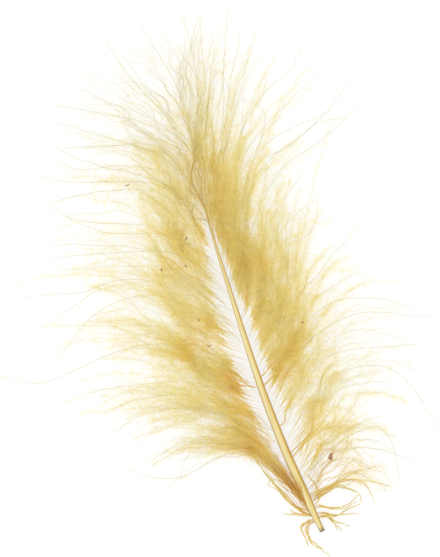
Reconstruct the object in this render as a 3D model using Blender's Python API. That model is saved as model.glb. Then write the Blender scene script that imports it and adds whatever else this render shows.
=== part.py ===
"""A downy goose feather, lying on a table with its quill uppermost.

The feather grew as one piece, so it is one solid: a tapering quill with locks of down fused along both its sides.
It is laid out in millimetres from the quill's cut end, with x to the right and y towards the feather's tip. At the
end it is moved so that the origin is on the table, under the middle of it.
"""

import math

import bmesh
import bpy
from mathutils import Matrix, Vector

MM = 0.001

# The quill, by distance along it from its cut end.
QUILL_LENGTH = 91.0
CUT_WIDTH = 1.1
WIDEST_AT = 25.0
WIDEST_WIDTH = 2.0
FINE_AT = 76.0
FINE_WIDTH = 0.5
TIP_WIDTH = 0.4
DEPTH_TO_WIDTH = 0.88
QUILL_SIDES = 10
QUILL_RINGS = 26
RECESS_TO_WIDTH = 0.6
RECESS_DEPTH = 0.5

# How the quill bows to the left, turns back near its tip, and arches off the table.
BOW = 4.35
BOW_AT = 62.0
BOW_POWER = 2.3
TIP_DRIFT = 3.0
TIP_DRIFT_OVER = 34.0
TIP_DRIFT_POWER = 3
CUT_HEIGHT = 0.75
ARCH_HEIGHT = 3.9
ARCH_AT = 48.0
TIP_HEIGHT = 3.0

# Guide locks: where the root is along the quill, two places the lock passes, and where it ends.
LEFT_GUIDES = [
    (4.0, (-5.5, 11.0), (-9.5, 19.0), (-19.0, 23.5)),
    (8.0, (-7.0, 18.0), (-13.0, 25.5), (-30.5, 26.0)),
    (18.0, (-9.0, 27.5), (-17.0, 34.0), (-37.0, 34.0)),
    (31.0, (-12.0, 40.0), (-23.0, 44.5), (-47.0, 43.5)),
    (40.0, (-12.5, 48.5), (-24.0, 54.0), (-51.0, 51.0)),
    (52.0, (-13.0, 60.0), (-25.0, 66.5), (-44.0, 67.5)),
    (63.0, (-12.5, 72.0), (-23.5, 80.0), (-39.5, 86.0)),
    (74.0, (-10.5, 83.0), (-19.0, 92.5), (-32.0, 103.0)),
    (84.0, (-7.0, 93.0), (-11.0, 102.0), (-17.0, 108.5)),
    (90.0, (-5.0, 98.0), (-7.0, 106.0), (-8.0, 114.0)),
]
RIGHT_GUIDES = [
    (5.0, (3.5, 7.0), (9.0, 8.5), (17.0, 5.5)),
    (12.0, (4.0, 15.5), (11.0, 19.0), (22.5, 15.0)),
    (22.0, (4.0, 26.5), (11.0, 32.0), (28.0, 27.5)),
    (32.0, (3.5, 38.0), (9.5, 45.0), (36.5, 38.5)),
    (42.0, (3.0, 50.0), (9.0, 56.0), (25.0, 60.0)),
    (52.0, (2.5, 60.5), (7.5, 68.0), (18.0, 73.0)),
    (64.0, (2.0, 71.5), (8.0, 80.0), (33.0, 86.5)),
    (76.0, (2.0, 83.0), (8.5, 92.5), (28.0, 102.0)),
    (85.0, (1.0, 91.0), (4.5, 101.0), (13.5, 114.0)),
    (90.0, (-1.0, 97.0), (0.5, 106.0), (2.0, 117.5)),
]
LEFT_LOCKS = 32
RIGHT_LOCKS = 31

# The short tufts round the cut end, given in the same way.
BASE_TUFTS = [
    (2.2, (-2.6, 2.6), (-3.9, 1.2), (-3.4, -1.8)),
    (1.6, (-2.2, 1.9), (-3.1, -1.6), (-0.4, -5.5)),
    (3.6, (-3.2, 4.4), (-4.8, 5.0), (-6.4, 6.0)),
    (2.0, (1.8, 2.2), (3.6, 1.0), (5.6, -0.8)),
    (3.4, (2.6, 3.8), (5.6, 3.2), (9.6, 4.4)),
]

# The single long wisps that stand out past the rest of the down, given in the same way.
LONG_WISPS = [
    (31.0, (-22.0, 47.5), (-47.0, 48.5), (-58.0, 53.0)),
    (46.0, (-20.0, 62.5), (-34.0, 66.0), (-48.5, 68.0)),
    (56.0, (-17.0, 72.0), (-28.0, 79.5), (-41.5, 83.5)),
    (27.0, (10.5, 40.5), (24.0, 42.5), (38.0, 38.0)),
    (20.0, (12.0, 31.0), (24.0, 30.5), (31.0, 14.0)),
    (54.0, (7.0, 73.5), (20.0, 83.5), (36.0, 93.0)),
]

# A lock of down is a flattened spindle, fullest part of the way along.
LOCK_WIDTH = 4.9
LOCK_THICKNESS = 2.2
STRAND_WIDTH = 1.1
STRAND_THICKNESS = 0.8
LOCK_FULLEST = 0.42
LOCK_ROOT_WIDTH = 1.0
LOCK_TIP_WIDTH = 0.5
THIN_TO_WIDE = 0.8
SWELL_POWER = 0.9
LOCK_SIDES = 6
LOCK_RINGS = 7

# Locks lie in three layers, low, middle and high, and are uneven in length and width.
LAYER_ORDER = (0, 2, 1)
LAYER_RISE = (-3.2, 0.6, 4.6)
LAYER_TIP_HEIGHT = (0.3, 2.4, 5.2)
LAYER_REACH = (1.0, 0.93, 0.84)
RISE_BY_FIRST_PLACE = 0.75
LENGTH_VARIATION = 0.1
WIDTH_VARIATION = 0.25
UNEVEN_STEP = 0.618034
GUIDE_MARGIN = 0.8

# The table presses the lowest locks flat.
PRESSED_HEIGHT = 0.35
TABLE_SIZE = 260.0
TABLE_DEPTH = 20.0

QUILL_SLOT = 0
DOWN_SLOT = 1
QUILL_COLOUR = (0.80, 0.63, 0.22, 1.0)
QUILL_ROUGHNESS = 0.35
DOWN_COLOUR = (0.72, 0.52, 0.17, 1.0)
DOWN_ROUGHNESS = 0.85
SMOOTH_UNDER = math.radians(50)


def eased(x):
    """From 0 to 1, slow at both ends."""
    x = min(max(x, 0.0), 1.0)
    return x * x * (3 - 2 * x)


def quill_point(along):
    """The middle of the quill at this distance from the cut end."""
    if along < BOW_AT:
        x = -BOW * (1 - ((BOW_AT - along) / BOW_AT) ** BOW_POWER)
        z = CUT_HEIGHT + (ARCH_HEIGHT - CUT_HEIGHT) * eased(along / ARCH_AT)
    else:
        past = along - BOW_AT
        x = -BOW + TIP_DRIFT * (past / TIP_DRIFT_OVER) ** TIP_DRIFT_POWER
        z = ARCH_HEIGHT + (TIP_HEIGHT - ARCH_HEIGHT) * eased(past / (QUILL_LENGTH - BOW_AT))
    return Vector((x, along, z))


def quill_width(along):
    """It swells from the cut end, then tapers to a thread."""
    if along < WIDEST_AT:
        return CUT_WIDTH + (WIDEST_WIDTH - CUT_WIDTH) * eased(along / WIDEST_AT)
    if along < FINE_AT:
        return WIDEST_WIDTH + (FINE_WIDTH - WIDEST_WIDTH) * (along - WIDEST_AT) / (FINE_AT - WIDEST_AT)
    return FINE_WIDTH + (TIP_WIDTH - FINE_WIDTH) * (along - FINE_AT) / (QUILL_LENGTH - FINE_AT)


def ring_at(bm, middle, forward, width, thickness, sides):
    """A ring of vertices round the middle, square to forward."""
    across = forward.cross(Vector((0, 0, 1))).normalized()
    up = across.cross(forward).normalized()
    turns = [2 * math.pi * i / sides for i in range(sides)]
    return [
        bm.verts.new(middle + across * (width / 2 * math.cos(a)) + up * (thickness / 2 * math.sin(a)))
        for a in turns
    ]


def skin(bm, rings):
    """Faces between each ring and the next."""
    for near, far in zip(rings, rings[1:]):
        for i in range(len(near)):
            j = (i + 1) % len(near)
            bm.faces.new((near[i], near[j], far[j], far[i]))


def object_from(bm, name, materials, slot):
    """Makes the mesh an object in metres, its faces pointing out and all of one of the materials."""
    bmesh.ops.recalc_face_normals(bm, faces=bm.faces)
    bmesh.ops.transform(bm, matrix=Matrix.Scale(MM, 4), verts=bm.verts)
    for face in bm.faces:
        face.material_index = slot
    mesh = bpy.data.meshes.new(name)
    bm.to_mesh(mesh)
    bm.free()
    for material in materials:
        mesh.materials.append(material)
    obj = bpy.data.objects.new(name, mesh)
    bpy.context.scene.collection.objects.link(obj)
    return obj


def make_quill(name, materials):
    """The quill, with a small recess in its cut end."""
    bm = bmesh.new()
    rings = []
    for i in range(QUILL_RINGS):
        along = QUILL_LENGTH * i / (QUILL_RINGS - 1)
        forward = quill_point(along + MM) - quill_point(along)
        width = quill_width(along)
        rings.append(ring_at(bm, quill_point(along), forward, width, width * DEPTH_TO_WIDTH, QUILL_SIDES))
    forward = quill_point(MM) - quill_point(0)
    mouth_width = CUT_WIDTH * RECESS_TO_WIDTH
    floor_width = mouth_width * RECESS_TO_WIDTH
    mouth = ring_at(bm, quill_point(0), forward, mouth_width, mouth_width, QUILL_SIDES)
    floor = ring_at(bm, quill_point(RECESS_DEPTH), forward, floor_width, floor_width, QUILL_SIDES)
    skin(bm, [floor, mouth] + rings)
    bm.faces.new(floor)
    bm.faces.new(rings[-1])
    return object_from(bm, name, materials, QUILL_SLOT)


def places_at(guides, along):
    """The places a lock passes when its root is here, worked out from the guide locks on either side."""
    for low, high in zip(guides, guides[1:]):
        if along <= high[0]:
            share = (along - low[0]) / (high[0] - low[0])
            return [Vector(a).lerp(Vector(b), share) for a, b in zip(low[1:], high[1:])]
    return [Vector(place) for place in guides[-1][1:]]


def curve_point(before, start, end, after, t):
    """A point on the smooth curve through start and end, with t from 0 to 1."""
    slope = end - before
    bend = before * 2 - start * 5 + end * 4 - after
    twist = start * 3 - before - end * 3 + after
    return (start * 2 + slope * t + bend * t**2 + twist * t**3) / 2


def lock_path(along, places, rise, tip_height, reach):
    """Points along a lock, from the quill through its places, stopping at its share of the way to the tip."""
    root = quill_point(along)
    heights = [
        max(root.z + rise * RISE_BY_FIRST_PLACE, PRESSED_HEIGHT),
        max(root.z + rise, PRESSED_HEIGHT),
        tip_height,
    ]
    knots = [root] + [Vector((place.x, place.y, height)) for place, height in zip(places, heights)]
    knots = [knots[0] * 2 - knots[1]] + knots + [knots[-1] * 2 - knots[-2]]
    spans = len(knots) - 3
    points = []
    for i in range(LOCK_RINGS + 1):
        t = reach * spans * i / LOCK_RINGS
        span = min(int(t), spans - 1)
        points.append(curve_point(*knots[span : span + 4], t - span))
    return points


def fullness(share):
    """From 0 at a lock's root and tip to 1 where it is fullest."""
    if share < LOCK_FULLEST:
        return math.sin(math.pi / 2 * share / LOCK_FULLEST) ** SWELL_POWER
    return math.cos(math.pi / 2 * (share - LOCK_FULLEST) / (1 - LOCK_FULLEST)) ** SWELL_POWER


def make_lock(name, materials, path, width, thickness):
    """One lock, as a flattened spindle that follows its path from inside the quill to a fine tip."""
    bm = bmesh.new()
    rings = []
    for i, middle in enumerate(path[:-1]):
        forward = path[i + 1] - path[max(i - 1, 0)]
        share = i / LOCK_RINGS
        full = fullness(share)
        least_width = min(LOCK_ROOT_WIDTH + (LOCK_TIP_WIDTH - LOCK_ROOT_WIDTH) * share, width)
        least_thickness = least_width * THIN_TO_WIDE
        ring_width = least_width + (width - least_width) * full
        ring_thickness = least_thickness + (thickness - least_thickness) * full
        rings.append(ring_at(bm, middle, forward, ring_width, ring_thickness, LOCK_SIDES))
    skin(bm, rings)
    bm.faces.new(rings[0])
    tip = bm.verts.new(path[-1])
    for i in range(LOCK_SIDES):
        bm.faces.new((rings[-1][i], rings[-1][(i + 1) % LOCK_SIDES], tip))
    return object_from(bm, name, materials, DOWN_SLOT)


def make_side(name, materials, guides, count):
    """The locks of one side, evenly spread along the quill, with a full-length one at each guide."""
    locks = []
    first = guides[0][0]
    last = guides[-1][0]
    for i in range(count):
        along = first + (last - first) * i / (count - 1)
        layer = LAYER_ORDER[i % len(LAYER_ORDER)]
        uneven = (i * UNEVEN_STEP) % 1
        reach = LAYER_REACH[layer] * (1 - LENGTH_VARIATION * uneven)
        if min(abs(along - guide[0]) for guide in guides) < GUIDE_MARGIN:
            reach = 1.0
        path = lock_path(along, places_at(guides, along), LAYER_RISE[layer], LAYER_TIP_HEIGHT[layer], reach)
        width = LOCK_WIDTH * (1 - WIDTH_VARIATION * (1 - uneven))
        locks.append(make_lock(f"{name}_{i}", materials, path, width, LOCK_THICKNESS))
    return locks


def make_strands(name, materials, rows):
    """The base tufts or long wisps: thin locks that droop from the quill and lie on the table."""
    strands = []
    for i, (along, *places) in enumerate(rows):
        path = lock_path(along, [Vector(place) for place in places], -ARCH_HEIGHT, PRESSED_HEIGHT, 1.0)
        strands.append(make_lock(f"{name}_{i}", materials, path, STRAND_WIDTH, STRAND_THICKNESS))
    return strands


def make_table_cutter(name, materials):
    """A block whose top is the table's, to press the lowest locks flat."""
    bm = bmesh.new()
    bmesh.ops.create_cube(bm, size=1)
    bmesh.ops.scale(bm, vec=(TABLE_SIZE, TABLE_SIZE, TABLE_DEPTH), verts=bm.verts)
    bmesh.ops.translate(bm, vec=(0, 0, -TABLE_DEPTH / 2), verts=bm.verts)
    return object_from(bm, name, materials, DOWN_SLOT)


def make_material(name, colour, roughness):
    material = bpy.data.materials.new(name)
    material.use_nodes = True
    shader = material.node_tree.nodes["Principled BSDF"]
    shader.inputs["Base Color"].default_value = colour
    shader.inputs["Roughness"].default_value = roughness
    shader.inputs["Metallic"].default_value = 0.0
    return material


def hide_helper(obj):
    obj.hide_render = True
    obj.display_type = "WIRE"


def fuse(feather, locks):
    """Joins every lock to the quill."""
    collection = bpy.data.collections.new("locks")
    bpy.context.scene.collection.children.link(collection)
    for lock in locks:
        hide_helper(lock)
        bpy.context.scene.collection.objects.unlink(lock)
        collection.objects.link(lock)
    modifier = feather.modifiers.new("fuse_locks", "BOOLEAN")
    modifier.operation = "UNION"
    modifier.solver = "EXACT"
    modifier.operand_type = "COLLECTION"
    modifier.collection = collection


def press_flat(feather, table):
    """Cuts away what is below the table's top."""
    hide_helper(table)
    modifier = feather.modifiers.new("press_flat", "BOOLEAN")
    modifier.operation = "DIFFERENCE"
    modifier.solver = "EXACT"
    modifier.object = table


def finish_mesh(obj):
    """Turns the object with its modifiers into a plain mesh, smooth where it is round and centred on the origin."""
    graph = bpy.context.evaluated_depsgraph_get()
    mesh = bpy.data.meshes.new_from_object(obj.evaluated_get(graph))
    obj.modifiers.clear()
    obj.data = mesh
    xs = [vertex.co.x for vertex in mesh.vertices]
    ys = [vertex.co.y for vertex in mesh.vertices]
    mesh.transform(Matrix.Translation((-(min(xs) + max(xs)) / 2, -(min(ys) + max(ys)) / 2, 0)))
    mesh.shade_smooth()
    mesh.set_sharp_from_angle(angle=SMOOTH_UNDER)


def main():
    for old in list(bpy.data.objects):
        bpy.data.objects.remove(old)
    materials = [
        make_material("quill", QUILL_COLOUR, QUILL_ROUGHNESS),
        make_material("down", DOWN_COLOUR, DOWN_ROUGHNESS),
    ]
    feather = make_quill("feather", materials)
    left = make_side("left_lock", materials, LEFT_GUIDES, LEFT_LOCKS)
    right = make_side("right_lock", materials, RIGHT_GUIDES, RIGHT_LOCKS)
    tufts = make_strands("tuft", materials, BASE_TUFTS)
    wisps = make_strands("wisp", materials, LONG_WISPS)
    fuse(feather, left + right + tufts + wisps)
    press_flat(feather, make_table_cutter("table_cutter", materials))
    finish_mesh(feather)


main()
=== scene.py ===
"""Dresses the downy goose feather: a glossy quill, long barbs with their fine barbules, and the flecks on them."""

import math

import bpy
import numpy as np
from bpy.props import FloatProperty, FloatVectorProperty, IntProperty, PointerProperty
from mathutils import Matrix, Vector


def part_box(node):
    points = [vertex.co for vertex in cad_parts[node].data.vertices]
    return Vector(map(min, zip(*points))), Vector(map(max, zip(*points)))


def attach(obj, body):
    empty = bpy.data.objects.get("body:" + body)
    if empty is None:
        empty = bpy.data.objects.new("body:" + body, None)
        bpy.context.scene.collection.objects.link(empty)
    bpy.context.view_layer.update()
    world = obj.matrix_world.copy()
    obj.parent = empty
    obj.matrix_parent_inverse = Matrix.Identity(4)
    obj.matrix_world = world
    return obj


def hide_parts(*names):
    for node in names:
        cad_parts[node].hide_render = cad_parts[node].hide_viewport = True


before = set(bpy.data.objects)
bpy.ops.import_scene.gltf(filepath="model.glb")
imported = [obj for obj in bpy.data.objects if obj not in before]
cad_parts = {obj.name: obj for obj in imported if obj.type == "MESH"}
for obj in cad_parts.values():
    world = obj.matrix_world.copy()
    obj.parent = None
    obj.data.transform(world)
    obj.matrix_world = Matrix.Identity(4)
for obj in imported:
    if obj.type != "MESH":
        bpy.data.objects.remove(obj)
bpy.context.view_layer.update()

bl_info = {
    "name": "Downy goose feather",
    "version": (1, 0, 0),
    "blender": (4, 5, 0),
    "location": "3D View > Sidebar > Feather",
    "description": "Makes a small downy goose feather lying on a table, barb by barb",
    "category": "Object",
}

# Everything below is in millimetres, measured along the quill (y) and across it (x) from its cut end, unless it
# says otherwise.
MM = 0.001
UP = np.array([0.0, 0.0, 1.0])

# Where the quill's cut end lies, measured in from the solid feather's right and lower limits.
RIGHT_REACH = 38.0
LOWER_REACH = 5.5

# The quill as it lies: distance from the cut end, sideways place, width and height of its middle.
QUILL_STATIONS = [
    (0, 0, 1.12, 0.75),
    (3, -0.55, 1.35, 0.85),
    (7, -1.05, 1.75, 1.1),
    (10, -1.5, 2, 1.35),
    (14, -2.05, 2.02, 1.75),
    (20, -2.75, 1.88, 2.35),
    (28, -3.4, 1.78, 3.1),
    (35, -3.8, 1.6, 3.55),
    (42, -4, 1.4, 3.83),
    (50, -4.12, 1.18, 3.9),
    (58, -4.22, 0.92, 3.9),
    (66, -4.3, 0.66, 3.85),
    (72, -4.28, 0.46, 3.75),
    (76, -4.25, 0.36, 3.9),
    (79.5, -4.9, 0.3, 4.9),
    (82.3, -5.3, 0.26, 6),
    (84.4, -4.4, 0.26, 6.8),
    (86.5, -3.1, 0.25, 7.3),
    (89.5, -2.5, 0.24, 7.5),
    (93, -2.1, 0.2, 7.5),
    (97, -1.5, 0.16, 7.4),
]

# Along the quill: how deep it is for its width, how deep its groove is, and how brown its horn is.
QUILL_DEPTH = ((0, 12, 40, 76, 97), (0.95, 0.9, 0.8, 0.9, 1.0))
GROOVE_DEPTH = ((0, 14, 24, 62, 76), (0, 0, 0.1, 0.1, 0.0))
BROWNED = ((46, 68, 76, 87, 93), (0.0, 0.4, 0.8, 0.8, 0.1))
QUILL_SIDES = 24
QUILL_RINGS = 180
ROUNDNESS = 0.85
GROOVE_WIDTH = 0.35

# The cut end has a rim, and a dark hollow that runs in from it: rings by their share of the end's size, how far in
# each lies and how brown it is, then how far in the hollow's floor lies.
HOLLOW_RINGS = ((0.72, 0.0, 0.8), (0.6, 0.12, 1.0), (0.5, 1.1, 1.0), (0.25, 1.3, 1.0))
HOLLOW_DEPTH = 1.3
BROWN_REACH = 1.1

# Guide barbs. Each has the place of its root along the quill, how far from the root its down starts and how far it
# lies tight along the barb, the share of the barb after which it is sparse, how full and how ochre the down is, and
# then x and y of six places that the barb passes, the last of them its tip.
LEFT_GUIDES = [
    (3, 0.6, 14, 0.8, 0.2, 0.9, -2.9, 8, -5.2, 15.3, -9.2, 22, -14.8, 24.6, -20.8, 25.2, -28, 24.4),
    (5, 0.8, 14, 0.8, 0.22, 0.9, -2.9, 9.5, -5, 16.4, -9, 23, -14.6, 26.8, -21.8, 28.2, -30.5, 27),
    (8, 1.8, 13, 0.78, 0.28, 0.8, -3.6, 12.4, -6.1, 18.4, -10.2, 24.8, -16, 28.8, -23.6, 30.6, -34, 29.5),
    (11, 3, 11, 0.74, 0.42, 0.7, -4.8, 14.8, -8, 20.6, -12.6, 26.4, -18.6, 31, -27, 33.3, -37, 32.5),
    (15, 3.6, 9, 0.66, 0.68, 0.6, -6, 18.6, -9.6, 24, -14.4, 29.8, -21, 34.4, -29.6, 36, -40, 35.5),
    (20, 4, 6.5, 0.54, 0.85, 0.5, -7, 23.4, -11, 28, -16.4, 33.4, -23.4, 38.2, -31.8, 40.8, -43, 41),
    (26, 4.2, 5.2, 0.5, 0.95, 0.42, -7.4, 29, -11.8, 33.2, -17.4, 38.6, -24.4, 43.8, -32.2, 46.8, -43, 47),
    (32, 4.3, 5.2, 0.48, 1.05, 0.45, -7.6, 35, -12.2, 39, -18, 44.4, -24.8, 49.2, -32.7, 52.4, -42.5, 53),
    (38, 4.3, 5.6, 0.48, 0.95, 0.42, -7.8, 41, -12.5, 44.8, -18.2, 49.8, -24.8, 55.4, -33, 59.2, -43, 59.5),
    (44, 4.2, 5.6, 0.56, 0.78, 0.4, -7.9, 47, -12.5, 50.8, -17.6, 56.4, -23.6, 62, -32.4, 65.6, -43, 66.5),
    (50, 4.3, 5.3, 0.63, 0.8, 0.4, -7.9, 53, -12, 57.4, -14.9, 63.9, -17.8, 70.4, -26.8, 75.2, -39.5, 77),
    (56, 4, 4.4, 0.64, 0.68, 0.45, -8, 59.2, -11.4, 64.3, -13.3, 71, -15.6, 78, -23.4, 83.2, -36.5, 86.2),
    (62, 3.2, 3.4, 0.62, 0.55, 0.4, -7.6, 65.6, -10.7, 71.2, -12.4, 77.7, -14.6, 84.2, -22.6, 89.2, -34.5, 92),
    (68, 1.6, 1.9, 0.52, 0.46, 0.35, -7, 72.2, -9.6, 77.8, -11.4, 83.8, -14.4, 89.6, -21.6, 94.4, -32, 97.5),
    (74, 0.3, 0.6, 0.34, 0.4, 0.3, -6.2, 79, -8.6, 84.2, -11.4, 89.2, -15.4, 93.6, -21.6, 97.6, -29.5, 101.5),
    (80, 0.2, 0.4, 0.12, 0.2, 0.28, -6, 84.7, -8.8, 89.6, -12, 94.2, -16.2, 98.6, -21.2, 102.9, -27, 107),
    (86, 0.2, 0.4, 0.06, 0.14, 0.26, -5.2, 90.4, -7.8, 95, -10.8, 99.6, -14.2, 104.2, -17.8, 108.6, -21.5, 112.8),
    (91, 0.2, 0.4, 0.06, 0.14, 0.25, -4.2, 95.2, -6.2, 99.6, -8.4, 103.8, -10.8, 108, -13.2, 112, -15.8, 116),
    (95, 0.2, 0.4, 0.05, 0.12, 0.25, -3, 98.6, -4.2, 102.6, -5.6, 106.6, -7, 110.4, -8.4, 114, -10, 117.5),
]
RIGHT_GUIDES = [
    (6, 1.4, 8, 0.6, 0.26, 0.8, 1.5, 7.6, 5, 8.8, 9, 9, 12, 8.2, 14.5, 6.8, 17, 5),
    (9, 1.6, 8, 0.6, 0.36, 0.8, 2, 11, 5.5, 13.4, 8.6, 14.8, 11.5, 14.4, 14.5, 12.8, 17.5, 10.4),
    (12, 1.8, 6, 0.66, 0.62, 0.6, 2, 14.6, 5.4, 17.4, 9, 20.7, 12.4, 22.6, 16.5, 22.4, 21.5, 19.5),
    (15, 2, 5, 0.7, 0.9, 0.5, 1.8, 17.8, 5.2, 20.8, 9.2, 24.6, 13.4, 27.4, 18.4, 27.8, 24.5, 25),
    (18, 2.8, 5, 0.62, 0.38, 0.35, 1.6, 21, 5.1, 23.9, 9.2, 27.7, 13.6, 30.6, 19.2, 31, 26.5, 28.2),
    (22, 3.2, 6, 0.5, 0.3, 0.3, 1.3, 25.2, 4.9, 28.5, 9.1, 32.7, 14.4, 35.8, 21.2, 36, 30, 32),
    (26, 2.8, 4, 0.5, 0.56, 0.3, 0.9, 29.4, 4.8, 32.7, 9.6, 37, 15.4, 39.8, 23, 39.6, 33, 35),
    (30, 2.6, 2.8, 0.52, 0.78, 0.35, 0.8, 33.4, 4.8, 36.8, 9.4, 41.6, 14.3, 46, 21.5, 47.6, 31.5, 44.6),
    (35, 2.6, 2.8, 0.54, 1.1, 0.3, 0.7, 38.3, 4.6, 42.4, 7.8, 48.4, 10.5, 55.4, 14.4, 61.8, 21, 67),
    (40, 2.7, 2.8, 0.58, 1, 0.3, 0.3, 43.6, 4, 48, 6.6, 54.4, 8.5, 62, 10.6, 69.6, 14, 77),
    (45, 2.8, 2.9, 0.62, 0.92, 0.35, 0.1, 48.8, 3.2, 53.2, 4.8, 60.2, 6.5, 67.9, 9.2, 75.4, 13.8, 82),
    (50, 2.9, 3, 0.64, 0.96, 0.4, -0.6, 54.8, 2.1, 59.8, 3.5, 66.6, 5.8, 73.6, 12, 80.4, 24.8, 86),
    (55, 2.9, 3, 0.6, 0.96, 0.45, -1, 60.6, 1.4, 66.6, 2.8, 74, 6, 81.2, 13.5, 87, 28.8, 92.4),
    (60, 2.7, 2.9, 0.56, 0.68, 0.4, -1.2, 66.4, 1, 73, 2.8, 80.3, 6.2, 87.6, 11.4, 95.4, 20, 102.5),
    (65, 2.2, 2.4, 0.48, 0.54, 0.38, -1.4, 71.8, 0.6, 79.4, 2.6, 86.8, 5.2, 94.2, 8.6, 101.8, 13.5, 109.5),
    (70, 1.2, 1.4, 0.36, 0.42, 0.36, -2, 76.4, 0, 84.2, 1.9, 91.6, 4.4, 99, 8.2, 106.2, 12.6, 112),
    (76, 0.2, 0.4, 0.18, 0.26, 0.3, -3, 82.4, -0.8, 89.6, 1.2, 96.6, 3.8, 103.2, 7.2, 109.4, 11.4, 114.5),
    (82, 0.2, 0.4, 0.08, 0.12, 0.28, -2.6, 88.3, -1.2, 95, 0.2, 101.4, 2.2, 107.4, 4.8, 112.6, 8, 117),
    (88, 0.2, 0.4, 0.05, 0.1, 0.26, -1.9, 94.5, -1.2, 99.8, -0.4, 105, 0.6, 110, 1.8, 114.4, 3.2, 118.2),
    (94, 0.2, 0.4, 0.05, 0.1, 0.25, -1.5, 98.6, -1.3, 102.6, -1, 106.4, -0.7, 110, -0.4, 113.6, 0, 117),
]

# Single barbs that stand out from the rest: place of the root along the quill, then x and y of the places that each
# passes. The tables after this one are alike.
STRAY_BARBS = [
    (86, -6, 96, -10, 104, -13, 112, -14.2, 118),
    (88, -6.5, 99, -9, 104, -11, 112),
    (80, -9, 90, -12, 95, -16, 101, -22, 108.5),
    (84, -7, 92, -12, 97.5, -22, 103, -28, 106, -32, 107.5),
    (80, -10, 89, -18, 95, -24, 99, -31, 104),
    (72, -11, 83, -20, 89, -27, 93, -32, 98),
    (79, -10, 91, -20, 94.5, -30, 97),
    (75, -10, 85, -20, 90, -29, 92, -33, 97),
    (70, -11, 82, -22, 87, -30, 89, -37.5, 93),
    (68, -12, 81, -25, 85.5, -38, 86.5),
    (61, -12, 72.5, -24, 78, -31, 80.5, -37, 85),
    (59, -12, 71, -25, 76, -33, 81.5, -36, 86),
    (55, -10, 65, -20, 71, -30, 75, -39, 77),
    (54, -12, 67, -23, 71, -33, 73.3, -41, 75.3),
    (50, -12, 63, -23, 68, -33, 70, -39.5, 72),
    (46, -12, 59, -25, 65.5, -35, 65.5, -43, 67.3, -48, 68),
    (45, -12, 58, -22, 64, -32, 65, -38, 63.2, -44, 61.5),
    (43, -11, 54, -22, 61, -31, 61, -38, 58, -45, 52.3),
    (31, -11, 42, -22, 50, -36, 50.5, -48, 49, -55, 50.3, -58, 53),
    (22, -10, 34, -20, 40.5, -30, 42.5, -38, 44, -46.5, 43.5),
    (19, -9, 29, -18, 37, -30, 39.3, -39, 39),
    (14, -9, 24, -16, 32, -26, 36, -32, 36, -37.5, 34),
    (12, -9, 23, -15, 29.5, -22, 33.5, -27, 33, -33, 30),
    (5, -6, 15, -10.5, 21.5, -18, 22, -24, 20.5, -30, 21, -37, 25),
    (4, -6, 15, -10.5, 22, -16, 23.6, -20, 23.6, -26, 24.2),
    (6, -7, 18, -12, 24.5, -20, 25.5, -24, 24.5, -26.8, 19),
    (6, 2.5, 8.6, 7, 9.2, 12, 8, 17, 5.3),
    (10, 4.5, 13.5, 10, 14, 15, 9.5, 17, 8.3),
    (13, 2.5, 17.1, 8, 18.5, 13, 20, 20, 20.5),
    (12, 5, 15.5, 12, 18.5, 19, 18, 20.3, 12, 19.5, 6),
    (20, 4, 27, 12, 32, 22, 31.5, 27.5, 26, 31, 14),
    (9, 5, 13.5, 12, 15.5, 18, 13, 24, 9),
    (18, 5, 24.5, 12, 28.5, 19, 28.5, 25, 26.5),
    (24, 5, 33, 13, 36.5, 23, 35.5, 33, 33),
    (26, 4, 34, 12, 39.5, 20, 40, 25, 38, 30, 35),
    (28, 4, 37, 12, 42, 22, 43.5, 33, 39.5, 36.5, 38.5),
    (31, 3, 40, 10, 45, 14, 47, 20, 47.5, 25, 46, 30, 43.5, 34, 41),
    (36, 3, 43, 9, 48, 15, 49.8, 20, 52, 26, 52),
    (38, 3, 45, 9, 50.5, 14, 53, 17, 56, 22, 59, 27, 63),
    (49, 2, 58, 7, 63, 12, 67, 16, 69, 21, 70.7),
    (44, 3, 54, 10, 62, 17, 63.5, 20, 70),
    (51, 2, 60, 8, 68, 14, 73, 19, 77),
    (54, 3, 66, 10, 75, 16, 79.5, 24, 82, 30, 85, 35, 88),
    (57, 3, 69, 8, 79, 11, 82, 17, 83, 25, 86.5, 30, 89.5, 35, 94),
    (56, 3, 68, 9, 79.5, 17, 83, 24, 86, 31, 85.8),
    (58, 3, 72, 9, 82.5, 15, 85.5, 20, 86.7, 29, 88.3),
    (62, 3, 76, 8, 85, 12, 88, 20, 92.5, 28, 96.5),
    (60, 2.5, 75, 7, 87, 10, 91, 16, 96, 22, 99, 27.5, 105),
    (61, 3, 76, 7.4, 87.3, 11, 92, 16.2, 96.4, 17.3, 100),
    (57, 3, 72, 10, 84, 12.5, 87, 14, 90, 14.3, 93, 13, 95.5, 10.5, 96),
    (74, 0, 84, 4, 90, 7, 98, 9, 105, 11, 110, 13.5, 116),
    (72, 1, 83, 6, 93, 10, 102, 13, 107, 15, 112),
    (78, 0, 88, 2, 95, 4, 102, 6, 112, 7.7, 118),
    (80, 0, 90, 4, 99, 7.2, 104.5, 8, 102, 8.3, 98, 7.5, 94),
    (86, 0, 96, 3, 101, 1, 108, 0.3, 112),
    (84, 0.5, 96, 2.4, 104, 3.2, 111, 3.5, 117.5),
    (82, 2, 94, 5.5, 103, 8, 108, 8, 112),
    (90, -2, 99, -3, 106, -4.5, 112, -6, 118),
    (70, 0, 80, 6, 90, 12, 100, 18, 110),
]

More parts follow.
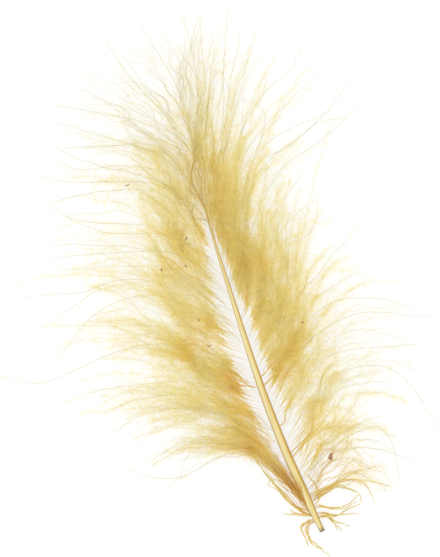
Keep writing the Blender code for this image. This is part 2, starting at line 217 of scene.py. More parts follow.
# Ochre strands and wisps round the cut end.
TUFT_STRANDS = [
    (4, -1.5, 4, -4, 5, -7, 6.1),
    (4.4, -2.2, 4.7, -4.4, 5.4, -5.6, 6.6),
    (2.6, -1.4, 2.9, -3, 2.7, -4.2, 1.9, -4.1, 0.2, -4, -2.1),
    (2.4, -1.8, 2.6, -3.2, 1.8, -3.3, 0.1, -2.9, -1.1, -1.5, -3.6, 0, -5.6),
    (2.2, -1.6, 2.3, -2.9, 1.4, -3.4, -0.6, -2.2, -2.7, -1.4, -3.8),
    (2.8, -1.5, 3.1, -3.4, 3, -4.5, 2.2),
    (5.6, 1, 5.6, 3, 4.4, 6, 3.9, 8.5, 4.7, 10, 5.2),
    (5.2, 1.2, 5.2, 3.5, 4.1, 6.5, 3.5, 8.8, 4.2),
    (7.4, 2, 8.1, 6, 8.7, 8.5, 7.2, 10, 5.4, 10.3, 3.9),
    (7, 2.4, 7.6, 5.8, 8.3, 8.2, 7.4, 9.2, 6.2),
    (4.2, 1, 4, 4, 2.5, 6, 2.9, 9.5, 3.3),
    (3.8, 1.4, 3.6, 3.2, 2.4, 5.2, 2.4, 8.6, 1.5),
    (3.2, 1.6, 3.1, 2.6, 1.6, 4.1, -0.9),
    (3, 1.8, 2.9, 3.2, 1.4, 6, -0.6),
    (3.4, 2, 2.6, 3, 0.8, 3.2, -0.6),
    (8, 2, 8.4, 7, 9.1, 12, 8, 17, 5.3),
    (8.4, 4, 9.2, 9, 9.3, 12, 7, 12.8, 2.8),
    (6.4, -3.5, 9.5, -5.2, 12.6, -7.4, 14.6, -8.5, 13.3),
    (5, -4, 6.6, -6.2, 10.2, -8.4, 13.4),
    (4.6, -4.4, 7.2, -5.6, 10.4, -7.2, 12.8),
    (3.6, -2.4, 4.6, -5.2, 8, -7, 13, -8.4, 17, -10.6, 21.2),
    (4, -2.8, 5.2, -6, 11, -8, 15.4, -10.2, 20.4),
    (6, 0.9, 6.5, 1.4, 8.5, 1.2, 11.5, -0.4, 13.6),
]

# Brown threads that curl about the quill's fine tip.
THREADS = [
    (76.5, -4, 78.8, -3.3, 80.8, -3.1, 82.6, -3.7, 84.2, -4.7, 84.3, -5.2, 83),
    (75.5, -4.9, 78, -5.9, 79.6, -5.8, 81.4, -5, 82.4, -5.4, 84.4, -4.6, 86),
    (84, -3.9, 85.4, -2.6, 86.4, -3.3, 87.8, -2, 88.8, -2.7, 90.6),
    (72, -5.6, 73.4, -6.9, 73.6, -7.2, 75.4, -6, 76.8, -5, 76.2),
]

# Barbs that lie up along the quill's fine tip and close the down over the table there.
COVERING_BARBS = [
    (66, -3.6, 72, -3.4, 78, -3.6, 84, -4.4, 88, -6, 93),
    (67, -3.3, 73, -2.6, 79, -2, 85, -1, 90, 1.4, 96),
    (69, -3.9, 75, -4.2, 80, -4.6, 85, -6.8, 90, -11, 95),
    (71, -3.4, 77, -2.8, 82, -2.2, 87, -0.4, 92, 3, 97),
    (72, -3.2, 78, -2, 83, -0.4, 88, 2.4, 93, 6.5, 98),
    (74, -3.8, 79, -4, 83, -5.4, 87, -9, 92, -14, 96),
]

# Ochre streaks, where several barbs stick together.
STREAKS = [
    (34, -5.2, 34.8, -8.1, 36.2, -11.5, 39.5, -15.5, 41.9, -19.6, 43.4),
    (34, -1.8, 35.2, 0.4, 36.4, 2.4, 36.9),
    (24.5, -1.2, 25.6, -0.2, 27.8, 3, 30),
    (36, 2, 39.4, 5, 40.6, 8, 41.7, 12, 43.8),
    (18, 0.6, 19.8, 5, 21.8, 8, 24, 11, 26.8),
    (17, 1.4, 19.6, 4.6, 20.8, 8.4, 22.6),
]

# The same, where they show only beyond the gap beside the quill.
FAR_STREAKS = [
    (32, -5.6, 34.4, -9.7, 38.1, -13.1, 42.1, -19.1, 45.1),
    (29, -6.2, 31.6, -9.5, 34.6, -13.5, 37.2, -19, 39.5),
    (27, -6, 30.6, -9, 33, -12.6, 37, -17.6, 41.5),
    (24, -6.2, 27.2, -9.2, 30.4, -12.4, 34.2, -16.4, 37.4),
    (21, -6.2, 25, -9.8, 28.6, -13.6, 31.6, -20, 34.4),
    (19, -6, 22.6, -8.8, 27, -12.4, 31.4, -17, 34.6),
    (15, -5.4, 19, -8.6, 24.6, -12.2, 28.6, -18, 32.2),
    (44, -7.6, 47.6, -10.5, 49, -14.5, 53, -18, 57.5),
    (56, -8.2, 59.4, -11.8, 62.4, -14.6, 66.8, -18.6, 69.6),
]

# Brown strands that stick together where the lower left down gathers.
BUNDLE = [
    (2.6, -3.8, 7.6, -6.2, 14.4, -10.2, 21.4, -15.6, 23.4, -21.5, 23.2),
    (3, -3.2, 7.9, -5.4, 15.6, -9.6, 22.2, -14, 25.2, -19, 26.2),
    (3.6, -2.9, 8.4, -4.9, 16, -8.8, 22.4, -13, 26.8, -18, 28.8),
    (4.4, -3, 9.6, -4.8, 15.4, -8, 21.4, -12, 27, -16.5, 31),
    (5.5, -2.9, 10.8, -4.4, 16.2, -7.4, 22, -11.6, 28.6, -15, 33.4),
    (6.2, -3, 12, -5, 17, -8.2, 22.6, -12.2, 27.6),
    (7, -3.2, 12.4, -5.2, 17.4, -8.6, 23.4, -13.2, 29.6),
]

# How these single barbs look: the layers they lie in, from 0 on the table to 1 uppermost; where their down starts,
# how far it lies tight and the share of the barb after which it is sparse; how full and how ochre it is, how thick the
# shafts are and how long the barbules. The far streaks skip the first part of each barb.
STRAY_LOOK = dict(layers=(0.0, 0.6), bare=2.5, tight=4.0, fluffy=0.1, full=0.5, ochre=0.1, thick=1.8, long=0.6)
COVERING_LOOK = dict(layers=(0.0, 0.5), bare=3.0, tight=4.0, fluffy=0.5, full=0.4, ochre=0.35, thick=0.9, long=0.8)
TUFT_LOOK = dict(layers=(0.3, 0.6), bare=0.2, tight=99.0, fluffy=1.2, full=2.2, ochre=0.8, thick=3.0, long=1.1)
STREAK_LOOK = dict(layers=(0.85, 1.0), bare=0.2, tight=99.0, fluffy=1.2, full=2.4, ochre=1.1, thick=2.4, long=1.0)
FAR_STREAK_LOOK = dict(
    layers=(1.0, 1.1), skip=0.3, bare=0.1, tight=99.0, fluffy=1.2, full=1.8, ochre=0.8, thick=2.4, long=1.0
)
THREAD_LOOK = dict(layers=(1.9, 2.1), bare=99.0, tight=99.0, fluffy=1.2, full=0.0, ochre=0.75, thick=4.2, long=1.0)
BUNDLE_LOOK = dict(layers=(0.6, 1.0), bare=0.2, tight=14.0, fluffy=0.8, full=0.65, ochre=0.9, thick=2.0, long=0.8)

# Where the down is stained, as x and y, how far the stain spreads and how ochre it is.
STAINS = [
    (-15.5, 65.6, 2.2, 0.34),
    (-12.5, 64, 1.6, 0.25),
    (-11, 51, 1.6, 0.25),
    (-12, 45.5, 2, 0.3),
    (-9, 37, 3, 0.3),
    (-9.5, 23, 3.2, 0.25),
    (-3.6, 10.5, 3, 0.35),
    (1.5, 36, 1.8, 0.35),
    (7.5, 23, 2.5, 0.3),
    (4, 60, 2, 0.15),
    (1.3, 66, 2.2, 0.22),
    (1, 60.5, 2.4, 0.3),
    (-11.2, 72, 1.8, 0.22),
    (-16.8, 46.7, 3, 0.3),
    (4.3, 40.3, 2.5, 0.15),
    (-4, 83, 3, 0.25),
]

# Where the down parts and the table shows through, as x and y, how far the gap spreads and how clear it is.
PARTINGS = [
    (-18, 31, 1.3, 1.2),
    (-15.6, 30.1, 1.6, 1.4),
    (-13.2, 29.1, 1.4, 1.2),
    (-9, 32.8, 1.1, 0.9),
    (-9.4, 28, 1.3, 0.9),
    (-10.8, 24.4, 0.8, 0.8),
    (-7.6, 24, 0.8, 0.8),
    (-6.2, 19.6, 0.9, 0.9),
    (-5, 16.6, 0.7, 0.8),
    (-6.2, 83, 1.8, 0.35),
    (-6, 76.5, 1.6, 0.3),
    (-14, 38.4, 1.2, 0.5),
    (-11, 36, 1, 0.5),
    (4.4, 27.6, 2, 0.4),
    (2.6, 23.6, 1.3, 0.4),
]

# Flecks of dirt: x and y, length and width, slant in degrees, and whether it is the brown of husk or grey.
FLECKS = [
    (6.5, 15.3, 1.8, 1.1, 62, True),
    (-12.6, 52.3, 0.7, 0.3, 85, True),
    (-12, 46.3, 1.2, 0.28, -8, True),
    (-10, 70.2, 1, 0.22, 40, False),
    (-17.2, 65.2, 0.8, 0.4, 80, True),
    (-19, 85.2, 1.2, 0.18, 8, True),
    (9, 45.3, 0.7, 0.25, 30, True),
    (-11.8, 64.5, 0.9, 0.35, -40, True),
]
FLECK_SIDES = 6
FLECK_RINGS = 9

# How the barbs lie: the lowest of them rest on the table and the highest arch over the quill, less so towards its
# tip. The shares of the rise are those along a barb.
LOWEST_RISE = -3.3
RISE_LIMITS = ((58, 72, 82), (4.4, 2.6, -0.3))
RISE_SHARES = (0.0, 0.5, 0.85, 1.0, 0.75)
TIP_HEIGHTS = (0.25, 5.4)
SINKING_FROM = 0.62
HEIGHT_UNEVENNESS = 0.25
RESTING_HEIGHT = 0.12
LOWEST_BARBULE = 0.02

# How far along the quill it is firm and lies flat, and where barbs that reach farther or higher are held back, and
# by what share.
LAST_FIRM = 72.0
TIP_LIMIT = 116.0
TOP_LIMIT = 8.6
HELD_BACK = 0.85

BARB_STEPS = 24
BARB_SIDES = 3
BARB_WIDTHS = ((0.0, 0.06, 0.14, 0.5, 0.8, 1.0), (0.016, 0.022, 0.04, 0.048, 0.034, 0.02))

# How barbs gather in clumps and stray again, at the root and at the six guide places after it.
CLUMP_SIZES = (2, 9)
CLUMP_PULL = (0.0, 0.15, 0.42, 0.55, 0.45, 0.3, 0.15)
CLUMP_SPREAD = (0.0, 0.1, 0.3, 0.8, 1.3, 1.8, 2.2)
BARB_SPREAD = (0.0, 0.06, 0.45, 1.1, 1.9, 2.7, 3.4)
MOST_PULL = 0.95
WILD_SHARE = 0.3
WILD_SPREAD = 2.0
CLUMP_LEAN = 0.05
BARB_LEAN = 0.05
FULLEST_CLUMP = 1.4

# The waves of a barb: how many it has along its length and how large they are beside the largest.
WAVE_SIZE = 0.6
STIFF_WAVE_SIZE = 0.18
WAVES = ((1.3, 1.0), (3.2, 0.5), (7.0, 0.33), (13.0, 0.16))

# How much of some of these there is along the quill, as places of the root and the factors there.
GAP_ALONG = ((8, 14, 60, 90), (0.5, 1.0, 1.0, 1.45))
PULL_ALONG = ((14, 24, 40, 56), (1.5, 1.0, 0.95, 0.8))
LEAN_ALONG = ((66, 80), (1.0, 1.8))
WILD_ALONG = ((8, 24), (0.45, 1.0))
SPARSEST_ALONG = ((14, 24), (0.2, 0.5))
THICK_ALONG = ((6, 18, 72, 90), (1.5, 1.0, 1.0, 0.8))

# All the down drifts together a little, as the air leaves it: the waves' lengths, how far they push, how strongly
# they thin the down in some places and thicken it in others, and how much they push at some distances from the root.
DRIFT_WAVES = 14
DRIFT_LENGTHS = (3.5, 11.0)
DRIFT_SIZE = 0.048
PATCHINESS = 0.3
PATCH_LIMITS = (0.2, 1.2)
DRIFT_AWAY = ((3, 9, 18, 34), (0, 1, 1, 0.4))

# The barbules: their length and width, over what share of the barb they thin out at its end, and how many are left
# there. Then how many of them are broad at the far end, as matted down is.
BARBULE_LENGTH = 2.4
BARBULE_WIDTH = 0.034
FADE_SHARE = 0.35
THIN_SHARE = 0.42
MATTED_SHARE = 0.55

# Colours and finishes that stay as they are.
DEEP_OCHRE = (0.84, 0.52, 0.10)
MIDDLE_SHAFT = (0.76, 0.56, 0.15)
MOTTLE = 0.6
LIGHT_THROUGH = 0.45
# Painted shade across the quill: its edges are darker, and its top is shaded towards its right side, as on a lit round
# tube.
NEAR_EDGE_SHADE = (0.66, 0.48, 0.12)
SHADED_TOP = (0.77, 0.65, 0.27)
NEAR_FAR_EDGE_SHADE = (0.62, 0.42, 0.09)
STREAK_SHADE = (0.72, 0.62, 0.42)
WHITE = (1.0, 1.0, 1.0)
AGED_HORN = (0.50, 0.34, 0.07)
CUT_BROWN = (0.10, 0.045, 0.015)
HORN_STREAKS = (2200.0, 90.0, 900.0)
GREY_GRIT = (0.12, 0.09, 0.05)
BOARD_GLOW = 0.745

# The photograph: millimetres to a pixel, its size, where the quill's cut end is in it and how the quill leans.
PIXEL = 0.22
PHOTO_SIZE = (440, 557)
CUT_END_PIXEL = (322.5, 531.0)
FEATHER_LEAN = math.radians(16.845)


class FeatherSizes(bpy.types.PropertyGroup):
    barb_gap: FloatProperty(
        name="Barb gap",
        description="Distance between the roots of neighbouring barbs along the quill",
        default=0.38 * MM,
        unit="LENGTH",
    )
    shortest_barb: FloatProperty(
        name="Shortest barb",
        description="Length of the shortest barbs, as a share of the longest beside them",
        default=0.58,
        subtype="FACTOR",
    )
    barbules: FloatProperty(
        name="Barbules per millimetre",
        description="How many fine barbules grow on each millimetre of a fluffy barb",
        default=38.0,
    )
    seed: IntProperty(
        name="Seed",
        description="Changes how the barbs fall without changing the feather's form",
        default=4,
    )


class FeatherColours(bpy.types.PropertyGroup):
    pale_down: FloatVectorProperty(
        name="Pale down",
        description="Colour of the thinnest, palest down",
        default=(0.885, 0.82, 0.46),
        subtype="COLOR",
    )
    golden_down: FloatVectorProperty(
        name="Golden down",
        description="Colour of most of the down",
        default=(0.925, 0.80, 0.28),
        subtype="COLOR",
    )
    ochre_down: FloatVectorProperty(
        name="Ochre down",
        description="Colour of the strands that stick together near the cut end",
        default=(0.85, 0.61, 0.16),
        subtype="COLOR",
    )
    shaft: FloatVectorProperty(
        name="Barb shafts",
        description="Colour of the thin shafts of the barbs",
        default=(0.66, 0.58, 0.21),
        subtype="COLOR",
    )
    brown_shaft: FloatVectorProperty(
        name="Brown shafts",
        description="Colour of the darkest shafts, near the cut end",
        default=(0.80, 0.47, 0.09),
        subtype="COLOR",
    )
    quill: FloatVectorProperty(
        name="Quill",
        description="Colour of the quill's pale top",
        default=(0.77, 0.70, 0.44),
        subtype="COLOR",
    )
    # Painted shade: the darker colour laid along both edges of the quill.
    quill_edge_shade: FloatVectorProperty(
        name="Quill edge",
        description="Colour of the quill's darker edges",
        default=(0.42, 0.24, 0.04),
        subtype="COLOR",
    )
    husk: FloatVectorProperty(
        name="Husk",
        description="Colour of the brown flecks",
        default=(0.30, 0.15, 0.07),
        subtype="COLOR",
    )


class StageChoices(bpy.types.PropertyGroup):
    floor: FloatVectorProperty(
        name="Floor",
        description="Colour of the table under the feather",
        default=(0.24, 0.24, 0.24),
        subtype="COLOR",
    )
    light: FloatProperty(
        name="Light",
        description="Strength of the even light from all round",
        default=1.1,
    )
    overhead: FloatProperty(
        name="Overhead light",
        description="Power of the large soft light above the feather",
        default=2.0,
        unit="POWER",
    )
    camera_height: FloatProperty(
        name="Camera height",
        description="Height of the camera above the table",
        default=1.3,
        unit="LENGTH",
    )


def cut_end():
    """The quill's cut end on the table, in metres."""
    low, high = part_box("feather")
    return np.array([high.x - RIGHT_REACH * MM, low.y + LOWER_REACH * MM, 0.0])


def quill_at(along):
    """Middle, width and height of the quill at these distances from the cut end, in millimetres."""
    stations = np.array(QUILL_STATIONS)
    x = np.interp(along, stations[:, 0], stations[:, 1])
    z = np.interp(along, stations[:, 0], stations[:, 3])
    width = np.interp(along, stations[:, 0], stations[:, 2])
    return np.stack([x, along, z], axis=-1), width


def through(points, steps):
    """Smooth curves through rows of points, as steps + 1 points each."""
    ahead = 2 * points[:, :1] - points[:, 1:2]
    beyond = 2 * points[:, -1:] - points[:, -2:-1]
    knots = np.concatenate([ahead, points, beyond], axis=1)
    spans = points.shape[1] - 1
    place = np.linspace(0, spans, steps + 1)
    span = np.minimum(place.astype(int), spans - 1)
    t = (place - span)[None, :, None]
    a, b, c, d = (knots[:, span + i] for i in range(4))
    return 0.5 * (2 * b + (c - a) * t + (2 * a - 5 * b + 4 * c - d) * t**2 + (3 * b - a - 3 * c + d) * t**3)


def shortened(paths, reach):
    """The same curves, each stopping at its own share of its length, with as many points as before."""
    steps = paths.shape[1] - 1
    place = np.linspace(0, 1, steps + 1)[None, :] * reach[:, None] * steps
    low = np.minimum(place.astype(int), steps - 1)
    share = (place - low)[:, :, None]
    rows = np.arange(len(paths))[:, None]
    return paths[rows, low] * (1 - share) + paths[rows, low + 1] * share


def unit(vectors):
    """The same directions, each of length one."""
    return vectors / np.maximum(np.linalg.norm(vectors, axis=-1, keepdims=True), 1e-9)


def directions(paths):
    """Which way each path runs at each of its points."""
    return unit(np.gradient(paths, axis=-2))


def square_to(ways):
    """The directions level with the table and square to these, and those square to both."""
    side = unit(np.cross(ways, UP))
    return side, np.cross(side, ways)


def lengths_along(paths):
    """How far each point of each path is from its start."""
    steps = np.linalg.norm(np.diff(paths, axis=1), axis=2)
    return np.concatenate([np.zeros((len(paths), 1)), np.cumsum(steps, axis=1)], axis=1)


def evenly(points, count):
    """A line through any number of places, as this many places at even distances."""
    curve = through(np.asarray(points, float)[None], 60)
    far = lengths_along(curve)[0]
    wanted = np.linspace(0, far[-1], count)
    return np.stack([np.interp(wanted, far, curve[0, :, k]) for k in range(curve.shape[2])], axis=1)


def nearby(places, spots):
    """How near these places are to any of the spots, each an x and y, a spread and a strength."""
    total = np.zeros(places.shape[:-1])
    for x, y, spread, strength in spots:
        far = (places[..., 0] - x) ** 2 + (places[..., 1] - y) ** 2
        total += strength * np.exp(-far / spread**2)
    return total


def hold_back(paths, axis, limit):
    """Draws in what lies beyond the limit along one axis."""
    paths[:, :, axis] -= HELD_BACK * np.maximum(paths[:, :, axis] - limit, 0)


def bands(loops, inside_out=False):
    """The triangles between neighbouring loops of corners; the last axis of loops runs round each loop."""
    a, d = loops[..., :-1, :], loops[..., 1:, :]
    b, c = np.roll(a, -1, axis=-1), np.roll(d, -1, axis=-1)
    corners = ((a, c, b), (a, d, c)) if inside_out else ((a, b, c), (a, c, d))
    return np.concatenate([np.stack(three, -1).reshape(-1, 3) for three in corners])


class Drift:
    """Waves through the air above the table that push neighbouring barbs the same way."""

    def __init__(self, rng):
        length = rng.uniform(*DRIFT_LENGTHS, DRIFT_WAVES)
        heading = rng.uniform(0, 2 * math.pi, DRIFT_WAVES)
        self.waves = np.stack([np.cos(heading), np.sin(heading), rng.normal(0, 1.2, DRIFT_WAVES)])
        self.waves *= 2 * math.pi / length
        self.starts = rng.uniform(0, 2 * math.pi, DRIFT_WAVES)
        push = rng.uniform(0, 2 * math.pi, DRIFT_WAVES)
        self.pushes = np.stack([np.cos(push), np.sin(push), 0.3 * np.sin(push + 1)], axis=1)
        self.pushes *= (DRIFT_SIZE * length)[:, None]

    def at(self, places):
        """How far things at these places are pushed."""
        return np.sin(places @ self.waves + self.starts) @ self.pushes

    def thickness(self, places):
        """How much thicker or thinner than usual the down is at these places, about 1."""
        swing = np.cos(places @ self.waves * 0.8 + self.starts).sum(axis=-1) / math.sqrt(DRIFT_WAVES / 2)
        return np.clip(1 + PATCHINESS * swing, *PATCH_LIMITS)


class Barbs:
    """Rows of barbs as curves, with what tells how the down grows on each of them."""

    TRAITS = ("bare", "tight", "fluffy", "full", "ochre", "thick", "long")

    def __init__(self, paths, patches=1.0, **traits):
        self.paths = paths
        self.patches = np.broadcast_to(patches, paths.shape[:2])
        for name in self.TRAITS:
            setattr(self, name, np.broadcast_to(traits[name], len(paths)).astype(float))

    def part(self, chosen):
        """Only the chosen ones of these barbs."""
        traits = {name: getattr(self, name)[chosen] for name in self.TRAITS}
        return Barbs(self.paths[chosen], self.patches[chosen], **traits)

    def with_also(self, *others):
        """These barbs and others, as one group."""
        groups = (self, *others)
        traits = {name: np.concatenate([getattr(group, name) for group in groups]) for name in self.TRAITS}
        paths = np.concatenate([group.paths for group in groups])
        return Barbs(paths, np.concatenate([group.patches for group in groups]), **traits)


def lifted(places, layer, rng):
    """Adds heights to flat rows of places: layer runs from 0, on the table, to 1, uppermost."""
    along = np.linspace(0, 1, places.shape[1])
    root_height = quill_at(places[:, 0, 1])[0][:, 2]
    highest = np.interp(places[:, 0, 1], *RISE_LIMITS)
    rise = LOWEST_RISE + (highest - LOWEST_RISE) * layer
    tip = TIP_HEIGHTS[0] + (TIP_HEIGHTS[1] - TIP_HEIGHTS[0]) * layer
    share = np.interp(along, np.linspace(0, 0.8, len(RISE_SHARES)), RISE_SHARES)
    height = root_height[:, None] + rise[:, None] * share
    down = np.clip((along - SINKING_FROM) / (1 - SINKING_FROM), 0, 1) ** 1.3
    height = height * (1 - down) + tip[:, None] * down
    height[:, 2:] += rng.normal(0, HEIGHT_UNEVENNESS, height[:, 2:].shape)
    height[:, 1:] = np.maximum(height[:, 1:], RESTING_HEIGHT)
    return np.concatenate([places, height[:, :, None]], axis=2)


def wavy(paths, rng, size):
    """Adds the small waves that soft barbs have, growing from root to tip."""
    count, steps, _ = paths.shape
    along = np.linspace(0, 1, steps)
    ways = directions(paths)
    side = np.stack([-ways[:, :, 1], ways[:, :, 0], np.zeros((count, steps))], axis=2)
    for waves, share in WAVES:
        turn = rng.uniform(0, 2 * math.pi, (count, 1))
        speed = waves * rng.uniform(0.7, 1.3, (count, 1))
        lean = rng.normal(0, size * share, (count, 1)) * along**0.8
        swing = lean * np.sin(2 * math.pi * speed * along + turn)
        paths = paths + side * swing[:, :, None]
        lift = rng.normal(0, size * share * 0.5, (count, 1)) * along
        paths[:, :, 2] += lift * np.sin(2 * math.pi * speed * along + turn + 1.6)
    paths[:, 1:, 2] = np.maximum(paths[:, 1:, 2], RESTING_HEIGHT)
    return paths


def turned(flat, angle):
    """Rows of places turned about their first, by these angles."""
    start = flat[:, :1]
    x, y = np.moveaxis(flat - start, 2, 0)
    c, s = np.cos(angle)[:, None], np.sin(angle)[:, None]
    return start + np.stack([x * c - y * s, x * s + y * c], axis=2)


def root_places(first, last, gap, rng):
    """Where along the quill barbs grow, from the first place to the last."""
    along = [first]
    while along[-1] < last:
        along.append(along[-1] + gap * np.interp(along[-1], *GAP_ALONG))
    return np.array(along) + rng.uniform(-0.3, 0.3, len(along)) * gap


def guided(guides, along):
    """Where barbs with these roots lie, as flat rows of places, and their marks, both blended from the guides'."""
    roots, marks = guides[:, 0], guides[:, 1:6]
    places = guides[:, 6:].reshape(len(guides), -1, 2)
    low = np.clip(np.searchsorted(roots, along) - 1, 0, len(roots) - 2)
    share = np.clip((along - roots[low]) / (roots[low + 1] - roots[low]), 0, 1)[:, None]
    flat = places[low] * (1 - share)[:, None] + places[low + 1] * share[:, None]
    start = quill_at(along)[0][:, None, :2]
    return np.concatenate([start, flat], axis=1), marks[low] * (1 - share) + marks[low + 1] * share


def gathered(own, shared, along, clump, rng):
    """Flat rows of places, drawn towards those that their clump shares and straying again."""
    count, clumps = len(along), clump.max() + 1
    shared = shared + (rng.normal(0, 1, (clumps, 1, 2)) * np.array(CLUMP_SPREAD)[:, None])[clump]
    pull = np.array(CLUMP_PULL)[:, None] * rng.uniform(0.3, 1.25, (count, 1, 1))
    pull = np.minimum(pull * np.interp(along, *PULL_ALONG)[:, None, None], MOST_PULL)
    flat = own * (1 - pull) + shared * pull
    lean = rng.normal(0, CLUMP_LEAN, clumps)[clump] + rng.normal(0, BARB_LEAN, count)
    flat = turned(flat, lean * np.interp(along, *LEAN_ALONG))
    wild = np.where(rng.uniform(0, 1, count) < WILD_SHARE, WILD_SPREAD, 1.0) * np.interp(along, *WILD_ALONG)
    flat = flat + rng.normal(0, 1, (count, 1, 2)) * np.array(BARB_SPREAD)[:, None] * wild[:, None, None]
    flat[:, 0] = own[:, 0]
    return flat


def side_barbs(guides, sizes, drift, rng):
    """All the barbs of one side, gathered in clumps, as the guides direct them."""
    guides = np.array(guides, float)
    along = root_places(guides[0, 0], guides[-1, 0], sizes.barb_gap / MM, rng)
    count = len(along)
    clump = np.repeat(np.arange(count), rng.integers(*CLUMP_SIZES, count))[:count]
    clumps = clump.max() + 1
    middle = np.array([along[clump == k].mean() for k in range(clumps)])
    own, marks = guided(guides, along)
    flat = gathered(own, guided(guides, middle[clump])[0], along, clump, rng)
    layer = rng.uniform(0, 1, clumps)[clump] * 0.8 + rng.uniform(0, 0.2, count)
    paths = through(lifted(flat, layer, rng), BARB_STEPS)
    reach = 1 - (1 - sizes.shortest_barb) * rng.uniform(0, 1, count) ** 1.2
    paths = wavy(shortened(paths, reach), rng, WAVE_SIZE)
    away = np.linalg.norm(paths - paths[:, :1], axis=2, keepdims=True)
    paths = paths + drift.at(paths) * np.interp(away, *DRIFT_AWAY)
    hold_back(paths, 1, TIP_LIMIT)
    paths[:, 1:, 2] = np.maximum(paths[:, 1:, 2], RESTING_HEIGHT)
    sparsest = np.interp(along, *SPARSEST_ALONG)
    crowd = sparsest + (FULLEST_CLUMP - sparsest) * rng.uniform(0, 1, clumps)[clump]
    bare, tight, fluffy, full, ochre = marks.T
    return Barbs(
        paths,
        drift.thickness(paths) * np.clip(1 - nearby(paths, PARTINGS), 0.02, 1),
        bare=bare * rng.uniform(0.85, 1.15, count),
        tight=tight * rng.uniform(0.85, 1.15, count),
        fluffy=fluffy / reach * rng.uniform(0.5, 1.3, count),
        full=full * crowd * rng.uniform(0.7, 1.3, count),
        ochre=ochre + rng.normal(0, 0.16, clumps)[clump] + rng.normal(0, 0.1, count),
        thick=rng.uniform(0.7, 1.3, count) * np.interp(along, *THICK_ALONG),
        long=1.0,
    )


def single_barbs(rows, rng, layers, skip=0.0, **traits):
    """Barbs that each follow places of their own; skip is the share of them, from the root, that isn't there."""
    flat = []
    for along, *places in rows:
        start = quill_at(np.array([float(along)]))[0][0, :2]
        flat.append(evenly([start, *np.reshape(places, (-1, 2))], 9))
    flat = np.array(flat)
    layer = rng.uniform(*layers, len(flat))
    paths = wavy(through(lifted(flat, layer, rng), BARB_STEPS), rng, STIFF_WAVE_SIZE)
    paths = shortened(paths[:, ::-1], np.full(len(paths), 1 - skip))[:, ::-1]
    return Barbs(paths, **traits)


def barb_tubes(barbs):
    """Vertices, triangles, colour marks and bake places of the barbs' own thin shafts."""
    paths = barbs.paths
    count, steps, _ = paths.shape
    along = np.linspace(0, 1, steps)
    side, up = square_to(directions(paths))
    radius = 0.5 * np.interp(along, *BARB_WIDTHS) * barbs.thick[:, None]
    radius = radius * np.clip(1 - 0.6 * nearby(paths, PARTINGS), 0.35, 1)
    rings = []
    for k in range(BARB_SIDES):
        a = 2 * math.pi * k / BARB_SIDES + math.pi / 2
        rings.append(paths + (side * math.cos(a) + up * math.sin(a)) * radius[:, :, None])
    verts = np.stack(rings, axis=2)
    index = np.arange(count * steps * BARB_SIDES).reshape(count, steps, BARB_SIDES)
    ends = np.concatenate([index[:, 0, ::-1], index[:, -1]])
    ochre = 0.1 + barbs.ochre[:, None] * (1 - 0.8 * along) + nearby(paths, STAINS)
    marks = {"ochre": np.repeat(ochre.reshape(-1), BARB_SIDES), "shaft": np.ones(index.size)}
    u = np.broadcast_to(along[:, None], index.shape)
    row = np.arange(count)[:, None, None] + 0.15 + 0.7 * np.arange(BARB_SIDES) / (BARB_SIDES - 1)
    v = np.broadcast_to(row, index.shape) / count
    bake = np.stack([u.reshape(-1), v.reshape(-1)], 1)
    return verts.reshape(-1, 3), np.concatenate([bands(index), ends]), marks, bake


